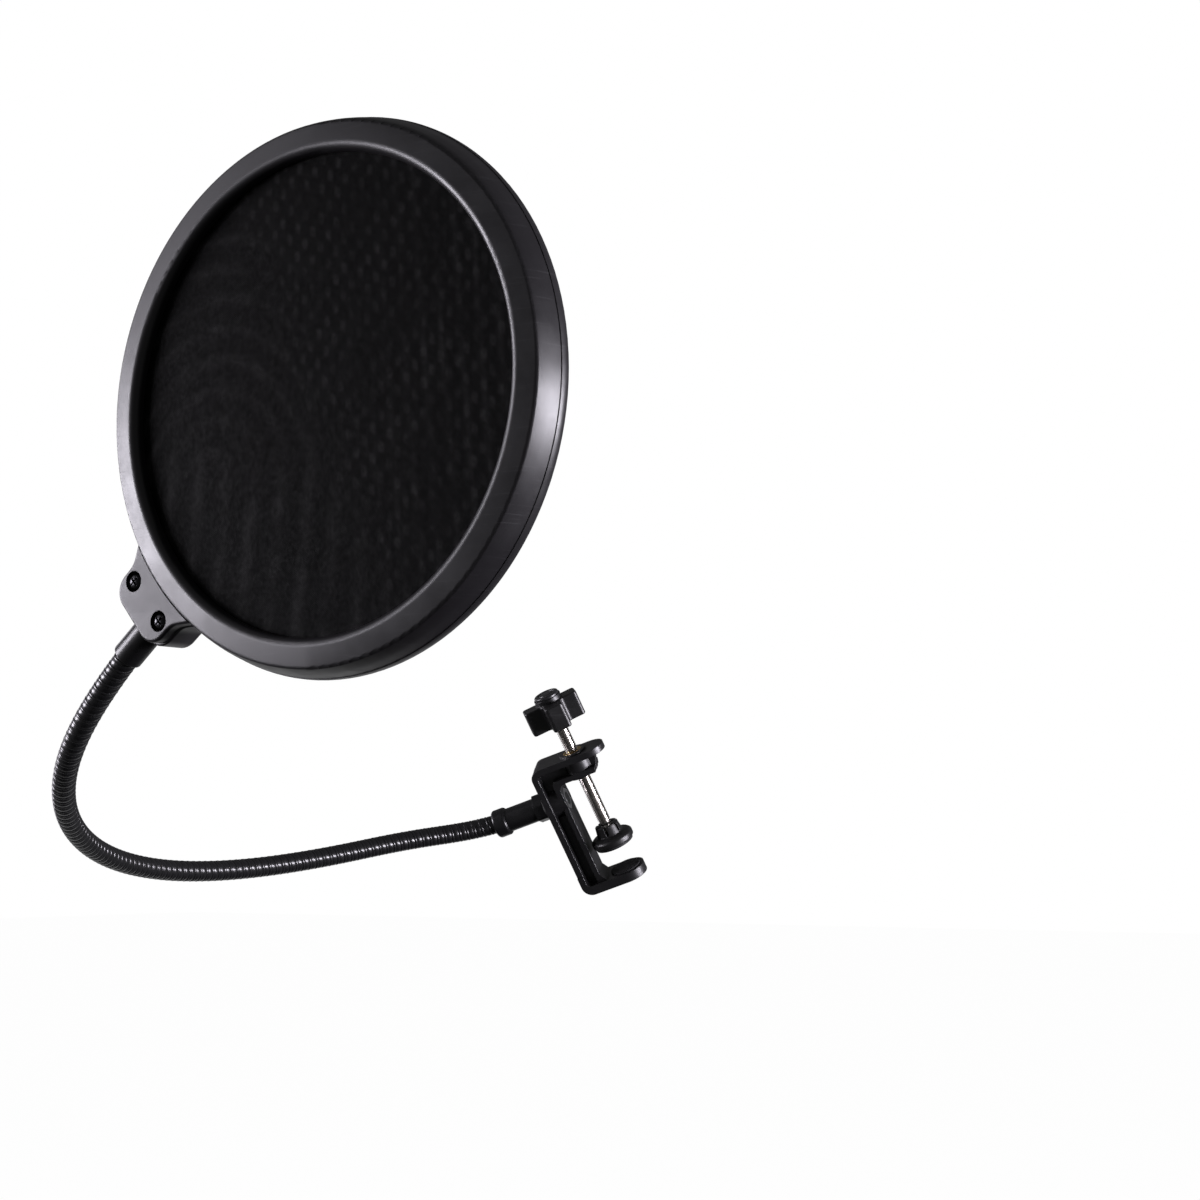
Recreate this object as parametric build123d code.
from build123d import *
import os
from math import cos, degrees, pi, radians, sin, sqrt

# Pop filter: a round double-mesh hoop on a steel gooseneck with a screw clamp.
# Millimetres. Origin: centre of the fixed jaw's gripping face. +Z up, the hoop's
# axis runs along Y and its front (singer's) side faces -Y.

# ---------------------------------------------------------------- shared helpers


def largest(shape):
    """The single solid of a boolean result, or the largest if there are several."""
    return max(shape.solids(), key=lambda solid: solid.volume)


def profile(start, *steps):
    """Closed face. A step is a line's end point, or the (middle, end) points of an arc."""
    edges = []
    here = start
    for step in steps:
        if isinstance(step[0], tuple):
            edges.append(ThreePointArc(here, *step))
            here = step[1]
        else:
            edges.append(Line(here, step))
            here = step
    edges.append(Line(here, start))
    return make_face(Wire(edges))


def turned(start, *steps):
    """Profile in (radius, y) revolved about the Y axis."""
    return revolve(profile(start, *steps), Axis.Y, 360)


def rounded_face(corners):
    """Polygon of (x, y) corners; a third value rounds that corner to its radius."""
    face = make_face(Polyline(*[corner[:2] for corner in corners], close=True))
    for x, y, radius in [corner for corner in corners if len(corner) == 3]:
        nearest = min(face.vertices(), key=lambda v: (v.X - x) ** 2 + (v.Y - y) ** 2)
        face = fillet(nearest, radius)
    return face


# ---------------------------------------------------------------- hoop
# Built about the Y axis with y = 0 on the front crease, then moved to HOOP_CENTRE.
HOOP_CENTRE = (84.67, -278.95, 130.32)
R_OUT = 77.85             # largest radius of the hoop
R_SEAM = 77.5             # front shell's outer radius at the seam
R_LIP = 68.2              # inner radius of the rear shell
R_NOSE = 66.8             # clear opening radius at the front lip
R_BAND_IN = 75.6          # inside of the front shell's outer band
R_TONGUE_IN, R_TONGUE_OUT = 74.72, 75.52   # rear tongue inside that band
Y_TONGUE = 4.0            # front end of the tongue
Y_LIP, Y_SEAM, Y_BACK = -0.85, 7.5, 13.4
SEAM_GAP = 0.06
Y_REAR_SEAM = Y_SEAM + SEAM_GAP

R_MESH, T_MESH = 74.5, 0.4
Y_MESH_FRONT, Y_MESH_REAR = 2.6, 8.1       # front faces of the two meshes
Y_REAR_SEAT = Y_MESH_REAR + T_MESH
R_SPACER_IN, R_SPACER_OUT = 68.9, 74.6

# Boss where the gooseneck leaves the hoop; it is placed by radius and tangent offset
BOSS_ANGLE = radians(-140.0)
BOSS_OFFSET = 1.5         # sideways offset of the gooseneck in the boss
Y_NECK = 9.8              # depth of the gooseneck behind the front crease
Y_PLATE, Y_PARTING, Y_BLOCK = 0.9, 4.6, 15.2   # boss front, parting and back faces
SCREW_SPOTS = ((82.3, -7.2), (82.3, 8.4))      # (radial, tangential)
R_SCREW_SHANK, L_SCREW_SHANK = 1.25, 9.2
H_SCREW_HEAD = 1.4
Y_HEAD_SEAT = Y_PLATE + H_SCREW_HEAD

R_FERRULE = 4.5           # outside of the sleeves at both ends of the gooseneck
SLEEVE_START, SLEEVE_END = 79.7, 104.0         # radial span of the hoop sleeve

RADIAL = Vector(cos(BOSS_ANGLE), 0, sin(BOSS_ANGLE))
TANGENT = Vector(-sin(BOSS_ANGLE), 0, cos(BOSS_ANGLE))


def hoop_point(radial, tangential, y):
    return RADIAL * radial + TANGENT * tangential + Vector(0, y, 0)


def boss_block(corners, y_front, y_back):
    """Outline in (radial, tangential) extruded from y_back forward to y_front."""
    plane = Plane(origin=(0, y_back, 0), x_dir=RADIAL, z_dir=(0, -1, 0))
    return extrude(plane * rounded_face(corners), amount=y_back - y_front)


def boss_edges(solid, y, min_radial):
    """Edges in the plane at y that lie clear of the hoop."""
    return [e for e in solid.edges()
            if abs(e.center().Y - y) < 1e-3 and e.center().dot(RADIAL) > min_radial]


def radial_cylinder(radius, start, end):
    """Cylinder on the gooseneck's axis in the boss."""
    plane = Plane(origin=hoop_point(start, BOSS_OFFSET, Y_NECK), z_dir=RADIAL)
    return extrude(plane * Circle(radius), amount=end - start)


def axial_cylinder(radius, spot, y_front, y_back):
    """Cylinder along Y at a (radial, tangential) spot."""
    plane = Plane(origin=hoop_point(*spot, y_front), z_dir=(0, 1, 0))
    return extrude(plane * Circle(radius), amount=y_back - y_front)


def hoop_core(radius):
    """Cutter that trims a boss block where it meets the hoop."""
    return Cylinder(radius, 60, rotation=(90, 0, 0))


def front_ring():
    """Front shell: rounded inner lip, coned face, shoulder and convex outer band."""
    ring = turned(
        (R_NOSE, Y_MESH_FRONT), (R_NOSE, 1.5476),
        ((67.6483, -0.2956), (69.6, Y_LIP)),
        (74.35, -0.11),
        ((75.03, 0.10), (75.49, 0.63)),
        ((76.80, 4.2), (R_SEAM, Y_SEAM)),
        (R_BAND_IN, Y_SEAM), (R_BAND_IN, Y_MESH_FRONT))
    plate = boss_block(
        [(68, -19.0), (79.6, -11.4, 7.0), (90.2, -11.2, 6.0),
         (90.2, 12.6, 6.0), (79.6, 12.8, 7.0), (68, 21.5)],
        Y_PLATE, Y_PARTING)
    plate = plate - hoop_core(75.9)
    plate = fillet(boss_edges(plate, Y_PLATE, 78.5), 1.0)
    ring = ring + plate
    for spot in SCREW_SPOTS:
        ring = ring - axial_cylinder(3.0, spot, 0, Y_HEAD_SEAT)   # head recess
        ring = ring - axial_cylinder(1.45, spot, 0, 6.0)          # clearance hole
    return largest(ring)


def rear_ring():
    """Rear shell: tongue inside the front band, thin rim, inner lip and boss block."""
    ring = turned(
        (R_TONGUE_IN, Y_REAR_SEAT), (R_TONGUE_IN, Y_TONGUE),
        (R_TONGUE_OUT, Y_TONGUE), (R_TONGUE_OUT, Y_REAR_SEAM),
        (R_OUT - 0.15, Y_REAR_SEAM),
        ((R_OUT, 8.6), (77.5, 10.8)),
        ((76.6, 11.9), (75.0, 12.4)),
        (R_LIP + 1.15, Y_BACK - 0.35),
        ((R_LIP + 0.6, Y_BACK), (R_LIP, Y_BACK - 0.6)),
        (R_LIP, Y_REAR_SEAT))
    y_front = Y_PARTING + SEAM_GAP
    block = boss_block(
        [(68, -19.1), (79.7, -11.55, 7.0), (90.9, -11.35, 6.2),
         (90.9, 13.1, 6.2), (79.7, 13.3, 7.0), (68, 22.0)],
        y_front, Y_BLOCK)
    block = block - hoop_core(77.75)
    block = fillet(boss_edges(block, Y_BLOCK, 79.5), 1.8)
    block = fillet(boss_edges(block, y_front, 79.5), 0.6)
    # the bridge joins the block to the rim behind the seam
    bridge = boss_block([(72, -15.5), (80.2, -10.8), (80.2, 12.6), (72, 17.5)],
                        Y_REAR_SEAM, 12.2)
    bridge = bridge - hoop_core(R_SPACER_OUT)
    ring = ring + bridge + block
    ring = ring - radial_cylinder(R_FERRULE, 79.6, 100.0)
    for spot in SCREW_SPOTS:
        ring = ring - axial_cylinder(1.27, spot, 4.0, 13.6)
    return largest(ring)


def mesh_spacer_ring():
    y_front = Y_MESH_FRONT + T_MESH
    return largest(turned((R_SPACER_IN, y_front), (R_SPACER_IN, Y_MESH_REAR),
                          (R_SPACER_OUT, Y_MESH_REAR), (R_SPACER_OUT, y_front)))


def mesh(y_front):
    return largest(axial_cylinder(R_MESH, (0, 0), y_front, y_front + T_MESH))


def boss_screw(spot):
    """Pan-head cross-recess screw lying along +Y."""
    shank = axial_cylinder(R_SCREW_SHANK, spot, Y_HEAD_SEAT, Y_HEAD_SEAT + L_SCREW_SHANK)
    head = turned((0, 0), (2.6, 0), (2.6, 0.35), ((1.9, 1.05), (0, H_SCREW_HEAD)))
    # turned over so that the head rises towards -Y
    seat = Plane(origin=hoop_point(*spot, Y_HEAD_SEAT), x_dir=(1, 0, 0), z_dir=(0, 0, -1))
    head = head.moved(Location(seat))
    slot_length, slot_width = 3.0, 0.62
    recess = Plane(origin=hoop_point(*spot, 0.7), x_dir=RADIAL, z_dir=(0, 1, 0)) * (
        Rectangle(slot_length, slot_width) + Rectangle(slot_width, slot_length))
    return largest(head + shank - extrude(recess, amount=1.5))


def hoop_ferrule():
    """Sleeve crimped on the gooseneck's hoop end, pushed into the boss."""
    sleeve = radial_cylinder(R_FERRULE, SLEEVE_START, SLEEVE_END)
    rim = [e for e in sleeve.edges() if abs(e.center().dot(RADIAL) - SLEEVE_END) < 0.05]
    sleeve = fillet(rim, 0.5)
    return largest(sleeve - radial_cylinder(R_NECK, 79.0, 105.0))


# ---------------------------------------------------------------- gooseneck
R_NECK, R_BORE = 3.65, 2.15        # outside and hollow radii
R_SOCKET = R_NECK + 0.05           # running clearance of a bend point
BALL_SHOW = 2.0                    # length of ball left bare at a bend point
STATIONS = [38.0 + 35.875 * k for k in range(9)]   # bend points along the neck
NECK_IN_SLEEVE = 23.5              # straight length inside the hoop sleeve
FERRULE_REACH = 22.0               # clamp ferrule's end, measured from the spine
NECK_IN_FERRULE = 16.0             # straight length inside the clamp ferrule

CLAMP_X = (0.88798, 0.31328, 0.33668)    # reach of the jaws
CLAMP_Z = (-0.15297, -0.48920, 0.85865)  # screw axis, towards the knob
X_SPINE, X_THROAT = -17.5, -9.2          # back and front of the clamp's spine
Z_NECK = 33.5                            # height of the gooseneck on the spine

# (x, y, z) along the middle of the neck, from the hoop to the clamp
CENTRELINE = [
    (24.34, -269.08, 77.76), (11.85, -269.27, 67.23), (-0.57, -268.36, 56.67),
    (-12.93, -265.70, 46.35), (-25.05, -260.58, 36.69), (-36.54, -252.72, 28.20),
    (-47.11, -242.62, 20.93), (-56.59, -230.82, 14.82), (-64.89, -217.71, 9.76),
    (-71.92, -203.55, 5.67), (-77.53, -188.55, 2.51), (-81.55, -172.88, 0.29),
    (-83.89, -156.77, -0.98), (-84.55, -140.46, -1.32), (-83.61, -124.17, -0.80),
    (-81.18, -108.07, 0.51), (-77.39, -92.32, 2.51), (-72.37, -76.99, 5.10),
    (-66.14, -62.19, 8.05), (-58.36, -48.08, 10.70), (-48.31, -35.51, 13.25),
    (-35.17, -26.91, 17.36), (-20.64, -21.91, 22.90),
]
neck = Spline(*CENTRELINE, tangents=((RADIAL.X, RADIAL.Y, RADIAL.Z), CLAMP_X))
neck_length = neck.length


def neck_point(distance):
    return neck.position_at(distance / neck_length)


def neck_section(point, direction, side):
    plane = Plane(origin=point, x_dir=side, z_dir=direction)
    return (plane * Circle(R_NECK)) - (plane * Circle(R_BORE))


def straight_tube(point, direction, length, side):
    return extrude(neck_section(point, direction, side), amount=length)


def bent_tube(arc):
    """Tube along a circular arc, as a slice of a torus."""
    start = arc.position_at(0)
    direction = arc.tangent_at(0)
    side = start - arc.arc_center
    turn = Axis(arc.arc_center, side.cross(direction))
    return revolve(neck_section(start, direction, side), turn,
                   degrees(arc.length / side.length))


def without_ball(arc):
    """The arc shortened at its end by the bare length of the next ball."""
    kept = 1 - BALL_SHOW / arc.length
    return ThreePointArc(arc.position_at(0), arc.position_at(kept / 2), arc.position_at(kept))


def ball_end(arc):
    """Bored half ball closing the tube at the start of an arc."""
    r_mid = (R_NECK + R_BORE) / 2
    depth_mid = sqrt(R_NECK ** 2 - r_mid ** 2)
    depth_bore = sqrt(R_NECK ** 2 - R_BORE ** 2)
    section = profile((R_BORE, 0, 0), (R_NECK, 0, 0),
                      ((r_mid, 0, -depth_mid), (R_BORE, 0, -depth_bore)))
    start = arc.position_at(0)
    plane = Plane(origin=start, x_dir=start - arc.arc_center, z_dir=arc.tangent_at(0))
    return revolve(section, Axis.Z, 360).moved(Location(plane))


def with_socket(link, arc):
    """Link hollowed at the arc's end for the next link's ball."""
    end = arc.position_at(1)
    direction = arc.tangent_at(1)
    plane = Plane(origin=end, x_dir=(end - arc.arc_center).cross(direction), z_dir=direction)
    return link - Sphere(R_SOCKET).moved(Location(plane))


def first_link():
    """Straight in the hoop sleeve, then curved to the first bend point."""
    start = Vector(*HOOP_CENTRE) + hoop_point(SLEEVE_END, BOSS_OFFSET, Y_NECK)
    arc = Edge.make_tangent_arc(start, RADIAL, neck_point(STATIONS[0]))
    link = straight_tube(start - RADIAL * NECK_IN_SLEEVE, RADIAL, NECK_IN_SLEEVE,
                         start - arc.arc_center)
    return largest(with_socket(link + bent_tube(without_ball(arc)), arc))


def middle_link(start, end):
    """One link between two bend points, given as distances along the neck."""
    arc = ThreePointArc(neck_point(start), neck_point((start + end) / 2), neck_point(end))
    return largest(with_socket(bent_tube(without_ball(arc)) + ball_end(arc), arc))


def last_link():
    """Curved from the last bend point, then straight in the clamp's ferrule."""
    reach = Vector(*CLAMP_X)
    spine_point = Vector(*CLAMP_Z) * Z_NECK + reach * X_SPINE
    entry = spine_point - reach * FERRULE_REACH
    back = Edge.make_tangent_arc(entry, -reach, neck_point(STATIONS[-1]))
    arc = ThreePointArc(back.position_at(1), back.position_at(0.5), back.position_at(0))
    tail = straight_tube(entry, reach, NECK_IN_FERRULE, entry - arc.arc_center)
    return largest(bent_tube(arc) + tail + ball_end(arc))


# ---------------------------------------------------------------- clamp
# Built with x as the reach of the jaws and z up the screw axis, then moved.
X_TOP_TIP, X_JAW_TIP = 12.2, 7.2         # tips of the top arm and the fixed jaw
Z_TOP, Z_ARM, Z_UNDER = 49.6, 40.8, -4.2  # top arm's top and underside, jaw's underside
Z_JAW = -0.6                             # top of the fixed jaw's metal
W_FLANGE, W_JAW, W_INNER = 13.0, 14.4, 11.0
T_OUTER, T_INNER, T_WEB = 2.4, 2.0, 4.0

R_JAW_RUBBER, T_JAW_RUBBER = 6.0, 1.2
R_INSERT = 3.75
Z_INSERT = (Z_ARM - 0.5, Z_TOP + 0.7)    # insert and its boss
Z_ARM_HOLE = (27.0, 57.0)                # cutters right through the top arm
R_STUD, L_STUD = 2.5, 8.3                # ferrule's stud through the spine
T_WASHER = 1.0
L_NUT = 4.0
X_NUT = X_THROAT - 0.1                   # throat-side face of the nut

R_CLAMP_SCREW = 2.4
R_BALL, Z_BALL = 2.7, 16.4
Z_PAD = 10.0                             # gap between the jaws at rest
R_PAD = 8.2
R_PAD_RUBBER, T_PAD_RUBBER = 7.4, 1.0

Z_KNOB, T_KNOB, R_KNOB = 62.1, 9.6, 10.6
W_LOBE = 7.2
Z_KNOB_TOP = Z_KNOB + T_KNOB
Z_SCREW_TOP = Z_KNOB + 7.4
R_CAP = 4.2                              # cap's plug and the hub recess it fills


def upright_cylinder(radius, z_low, z_high):
    return Pos(0, 0, (z_low + z_high) / 2) * Cylinder(radius, z_high - z_low)


def neck_cylinder(radius, x_back, x_front):
    """Cylinder along x at the gooseneck's height on the spine."""
    return Pos((x_back + x_front) / 2, 0, Z_NECK) * Cylinder(
        radius, x_front - x_back, rotation=(0, 90, 0))


def neck_hexagon(x_front, half_flats, length):
    """Hexagonal prism on the same axis, running back from x_front."""
    plane = Plane(origin=(x_front, 0, Z_NECK), x_dir=(0, 0, 1), z_dir=(-1, 0, 0))
    return extrude(plane * RegularPolygon(half_flats / cos(pi / 6), 6), amount=length)


def trimmed_hexagon(x_front, half_flats, r_corner, length):
    """The same prism with its corners turned down to r_corner."""
    return (neck_hexagon(x_front, half_flats, length)
            & neck_cylinder(r_corner, x_front - length, x_front))


def upright_turned(start, *steps):
    """Profile in (radius, z) revolved about the screw axis."""
    plane = Plane(origin=(0, 0, 0), x_dir=(1, 0, 0), z_dir=(0, -1, 0))
    return turned(start, *steps).moved(Location(plane))


def side_solid(corners, width):
    """Outline in (x, z), extruded evenly to both sides of y = 0."""
    plane = Plane(origin=(0, width / 2, 0), x_dir=(1, 0, 0), z_dir=(0, -1, 0))
    return extrude(plane * rounded_face(corners), amount=width)


def arm_plan(x_tip, width, z_low, z_high, r_tip):
    """A flat arm seen from above: square behind the spine, rounded at its tip."""
    half = width / 2
    x_back = X_SPINE - 1
    face = rounded_face([(x_back, -half), (x_tip, -half), (x_tip, half), (x_back, half)])
    face = fillet([v for v in face.vertices() if v.X > x_tip - 1e-3], r_tip)
    return extrude(Plane(origin=(0, 0, z_low)) * face, amount=z_high - z_low)


def clamp_body():
    # outer flange: one band round top arm, spine and jaw, trimmed to its plan
    x_inside = X_SPINE + T_OUTER
    outer = side_solid(
        [(X_TOP_TIP, Z_TOP), (X_SPINE, Z_TOP, 3.6), (X_SPINE, Z_UNDER, 4.2),
         (X_JAW_TIP, Z_UNDER), (X_JAW_TIP, Z_JAW), (x_inside, Z_JAW, 1.6),
         (x_inside, Z_TOP - T_OUTER, 1.6), (X_TOP_TIP, Z_TOP - T_OUTER)],
        40)
    top_plan = arm_plan(X_TOP_TIP, W_FLANGE, 30, Z_TOP + 1, 6.4)
    jaw_plan = arm_plan(X_JAW_TIP, W_JAW, Z_UNDER - 1, 4, 6.9)
    spine_plan = Pos(X_SPINE + 4, 0, 17.5) * Box(10, W_FLANGE, 29)
    outer = outer & (top_plan + jaw_plan + spine_plan)
    web = side_solid(
        [(8.4, Z_TOP - 1), (X_SPINE + 1, Z_TOP - 1), (X_SPINE + 1, Z_UNDER + 1),
         (X_THROAT + 4.5, Z_UNDER + 1), (X_THROAT + 4.5, Z_JAW), (X_THROAT + 1.7, Z_JAW),
         (X_THROAT, 2.2), (X_THROAT, Z_ARM, 2.6), (6.4, Z_ARM)],
        T_WEB)
    # inner flange lines the throat
    x_behind = X_THROAT - T_INNER
    inner = side_solid(
        [(6.6, Z_ARM + T_INNER), (x_behind, Z_ARM + T_INNER, 1.4), (x_behind, 1.0),
         (x_behind, Z_JAW - 0.5), (X_THROAT + 4.8, Z_JAW - 0.5), (X_THROAT + 4.8, Z_JAW),
         (X_THROAT + 1.8, Z_JAW), (X_THROAT, 2.3), (X_THROAT, Z_ARM, 2.6), (6.2, Z_ARM)],
        W_INNER)
    insert_boss = upright_cylinder(5.3, *Z_INSERT)
    neck_boss = neck_cylinder(5.9, X_SPINE + 0.8, X_THROAT)
    body = outer + web + inner + insert_boss + neck_boss
    body = body - upright_cylinder(R_INSERT, *Z_ARM_HOLE)
    body = body - neck_cylinder(R_STUD + 0.05, X_SPINE - 5, X_THROAT + 5)
    body = body - neck_hexagon(X_THROAT + 0.6, 4.1, 4.7)          # nut pocket
    body = body - upright_cylinder(R_JAW_RUBBER, -T_JAW_RUBBER, 0)
    return largest(body)


def jaw_rubber():
    """Rubber disc let into the fixed jaw; its top is the gripping face."""
    return largest(upright_cylinder(R_JAW_RUBBER, -T_JAW_RUBBER, 0))


def threaded_insert():
    """Brass insert for the clamp screw, through the top arm."""
    return largest(upright_cylinder(R_INSERT, *Z_INSERT)
                   - upright_cylinder(R_CLAMP_SCREW + 0.05, *Z_ARM_HOLE))


def clamp_ferrule():
    """Stud, hex collar, sleeve and a domed end collar on the neck axis."""
    x_pocket = -5.9     # bottom of the gooseneck's pocket
    body = turned(          # (radius, x from the back of the spine)
        (0, L_STUD), (R_STUD, L_STUD), (R_STUD, -T_WASHER), (R_FERRULE, -T_WASHER),
        (R_FERRULE, -16.5),
        ((5.1, -16.9), (5.4, -17.6)),
        (5.4, -20.6),
        ((5.1, -21.6), (4.3, -FERRULE_REACH)),
        (R_NECK, -FERRULE_REACH), (R_NECK, x_pocket), (0, x_pocket))
    body = body.moved(Location(
        Plane(origin=(X_SPINE, 0, Z_NECK), x_dir=(0, 0, 1), z_dir=(0, 1, 0))))
    return largest(body + trimmed_hexagon(X_SPINE - T_WASHER, 5.0, 5.5, 3.6))


def ferrule_washer():
    return largest(neck_cylinder(5.0, X_SPINE - T_WASHER, X_SPINE)
                   - neck_cylinder(2.6, X_SPINE - T_WASHER - 1, X_SPINE + 1))


def ferrule_nut():
    return largest(trimmed_hexagon(X_NUT, 4.0, 4.5, L_NUT)
                   - neck_cylinder(R_STUD, X_NUT - L_NUT - 2, X_NUT + 2))


def clamp_screw():
    """Plain spindle with a ball on a short neck at its lower end."""
    spindle = upright_cylinder(R_CLAMP_SCREW, 18.6, Z_SCREW_TOP)
    return largest(spindle + Pos(0, 0, Z_BALL) * Sphere(R_BALL)
                   + upright_cylinder(1.8, 16.8, 19.2))


def swivel_pad():
    """Disc with a socket of six fingers that snaps over the ball."""
    z_low = Z_PAD + T_PAD_RUBBER
    z_top = Z_PAD + 8.4
    pad = upright_turned(
        (0, z_low), (R_PAD - 0.5, z_low),
        ((R_PAD - 0.15, Z_PAD + 1.15), (R_PAD, Z_PAD + 1.5)),
        (R_PAD, Z_PAD + 2.9),
        ((R_PAD - 0.6, Z_PAD + 3.7), (R_PAD - 1.8, Z_PAD + 4.1)),
        (5.1, Z_PAD + 4.6), (4.5, z_top), (0, z_top))
    pad = pad - Pos(0, 0, Z_BALL) * Sphere(R_BALL + 0.08)
    pad = pad - Pos(0, 0, Z_BALL + 4.0) * Cone(2.05, 3.3, 5.0)    # flared mouth
    for i in range(3):
        pad = pad - Rot(0, 0, 60 * i + 30) * (Pos(0, 0, Z_PAD + 7.6) * Box(30, 1.0, 5.0))
    return largest(pad)


def pad_rubber():
    return largest(upright_cylinder(R_PAD_RUBBER, Z_PAD, Z_PAD + T_PAD_RUBBER))


def knob():
    """Four-lobed knob with a recessed hub on top."""
    half = W_LOBE / 2
    cross = rounded_face([(-R_KNOB, -half), (R_KNOB, -half), (R_KNOB, half), (-R_KNOB, half)])
    cross = (cross + cross.rotate(Axis.Z, 90)).face()
    inner_corners = [v for v in cross.vertices()
                     if abs(abs(v.X) - half) < 1e-3 and abs(abs(v.Y) - half) < 1e-3]
    cross = fillet(inner_corners, 1.6)
    outer_corners = [v for v in cross.vertices()
                     if abs(max(abs(v.X), abs(v.Y)) - R_KNOB) < 1e-3]
    cross = fillet(outer_corners, 1.3)
    body = extrude(Plane(origin=(0, 0, Z_KNOB)) * cross, amount=T_KNOB)
    rims = [e for e in body.edges()
            if abs(e.center().Z - Z_KNOB) < 1e-3 or abs(e.center().Z - Z_KNOB_TOP) < 1e-3]
    body = fillet(rims, 0.5)
    body = body + upright_cylinder(5.2, Z_KNOB_TOP - 0.05, Z_KNOB_TOP + 1.85)
    body = body.rotate(Axis.Z, 18)
    body = body - upright_cylinder(R_CLAMP_SCREW, Z_KNOB - 0.2, Z_SCREW_TOP)
    body = body - upright_cylinder(R_CAP, Z_KNOB_TOP + 0.15, Z_KNOB_TOP + 2.05)
    return largest(body)


def knob_cap():
    """Cap that closes the hub, with a shallow ring groove in its top."""
    z_low = Z_KNOB_TOP + 0.2
    z_brim = z_low + 1.7
    z_rim = z_low + 2.9
    z_groove = z_low + 2.6
    return largest(upright_turned(
        (0, z_low), (R_CAP, z_low), (R_CAP, z_brim), (4.8, z_brim), (4.8, z_low + 2.2),
        ((4.55, z_low + 2.75), (4.0, z_rim)),
        (3.3, z_rim), (3.1, z_groove), (2.8, z_groove), (2.6, z_rim), (0, z_low + 3.05)))


# ---------------------------------------------------------------- place and export
hoop_at = Location(HOOP_CENTRE)
clamp_at = Location(Plane(origin=(0, 0, 0), x_dir=CLAMP_X, z_dir=CLAMP_Z))

pieces = {
    "front_ring": front_ring().moved(hoop_at),
    "rear_ring": rear_ring().moved(hoop_at),
    "mesh_spacer_ring": mesh_spacer_ring().moved(hoop_at),
    "front_mesh": mesh(Y_MESH_FRONT).moved(hoop_at),
    "rear_mesh": mesh(Y_MESH_REAR).moved(hoop_at),
    "boss_screws": Compound([boss_screw(spot).moved(hoop_at) for spot in SCREW_SPOTS]),
    "hoop_ferrule": hoop_ferrule().moved(hoop_at),
}

middle_links = [middle_link(*span) for span in zip(STATIONS, STATIONS[1:])]
for number, link in enumerate([first_link(), *middle_links, last_link()], start=1):
    pieces["gooseneck_%d" % number] = link

for build in (clamp_body, jaw_rubber, threaded_insert, clamp_ferrule, ferrule_washer,
              ferrule_nut, clamp_screw, swivel_pad, pad_rubber, knob, knob_cap):
    pieces[build.__name__] = build().moved(clamp_at)

os.makedirs("parts", exist_ok=True)
for name, shape in pieces.items():
    export_step(shape, "parts/%s.step" % name)
